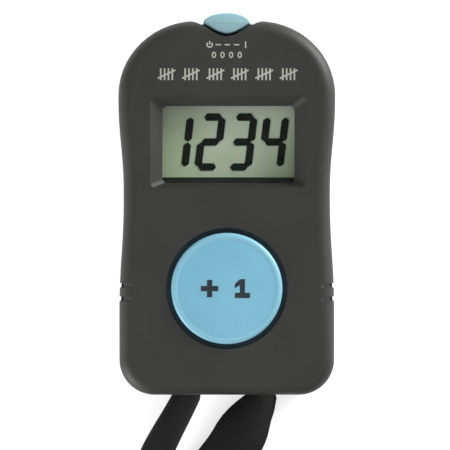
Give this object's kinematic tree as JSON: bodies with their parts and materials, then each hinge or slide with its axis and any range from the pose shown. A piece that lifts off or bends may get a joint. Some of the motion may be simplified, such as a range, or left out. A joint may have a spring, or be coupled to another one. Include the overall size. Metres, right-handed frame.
{
  "type": "hand tally counter",
  "caption": "Electronic hand tally counter with a recessed LCD, a large round count button, a top reset button, a coin-turn battery cap and a flat neck lanyard tied in a hank",
  "frame": {"origin": "Bottom centre of the counter without its lanyard: on the plane that the back rests on, at the middle of its width and length.", "axes": "The counter lies on its back. +X is to the right of the face, +Y runs towards the reset button, +Z points out of the face."},
  "size_m": [0.0658, 0.2355, 0.016],
  "materials": {
    "case": "fine matt moulded ABS",
    "window": "clear polished plastic",
    "white_plastic": "moulded",
    "lcd_glass": "polished",
    "reflector": "satin grey-green film",
    "black_rubber": "matt",
    "board": "solder mask",
    "epoxy": "black",
    "count_blue": "satin light blue",
    "reset_blue": "satin pale blue",
    "silicone": "translucent matt",
    "steel": "bright",
    "plated": "plated spring strip",
    "webbing": "flat woven polyester"
  },
  "bodies": {
    "case": {"front_shell": "case", "rear_shell": "case", "display_window": "window", "display_holder": "epoxy", "lcd_front_glass": "lcd_glass", "lcd_rear_glass": "lcd_glass", "lcd_reflector": "reflector", "zebra_strip_upper": "black_rubber", "zebra_strip_lower": "black_rubber", "circuit_board": "board", "controller_blob": "epoxy", "quartz_crystal": "steel", "filter_capacitor": "epoxy", "count_dome": "silicone", "reset_switch_body": "epoxy", "coin_cell": "steel", "cell_contact_positive": "plated", "cell_contact_negative": "plated", "case_screw_1": "steel", "case_screw_2": "steel", "case_screw_3": "steel", "case_screw_4": "steel", "board_screw_left": "steel", "board_screw_right": "steel", "lanyard_left_strand": "webbing", "lanyard_right_strand": "webbing", "lanyard_hank": "webbing", "lanyard_tie": "webbing"},
    "count_key": {"count_button": "count_blue", "count_pill": "black_rubber"},
    "reset_key": {"reset_button": "reset_blue"},
    "switch_plunger": {"reset_switch_plunger": "white_plastic"},
    "battery_door": {"battery_cap": "case"}
  },
  "joints": [
    {"name": "count_press", "type": "slide", "parent": "case", "child": "count_key", "axis": [0, 0, -1], "range_m": [0, 0.001], "stiffness_N_per_m": 1500, "deforming": ["count_dome"]},
    {"name": "reset_press", "type": "slide", "parent": "case", "child": "reset_key", "axis": [0, -1, 0], "range_m": [0, 0.0005], "stiffness_N_per_m": 2500},
    {"name": "switch_press", "type": "slide", "parent": "case", "child": "switch_plunger", "axis": [0, -1, 0], "range_m": [0, 0.0004]},
    {"name": "battery_cap_turn", "type": "hinge", "parent": "case", "child": "battery_door", "pos_m": [0, -0.01475, 0.001], "axis": [0, 0, 1], "range_deg": [0, 45]}
  ],
  "couplings": [
    {"joint": "switch_press", "follows": "reset_press", "ratio": 0.8}
  ]
}
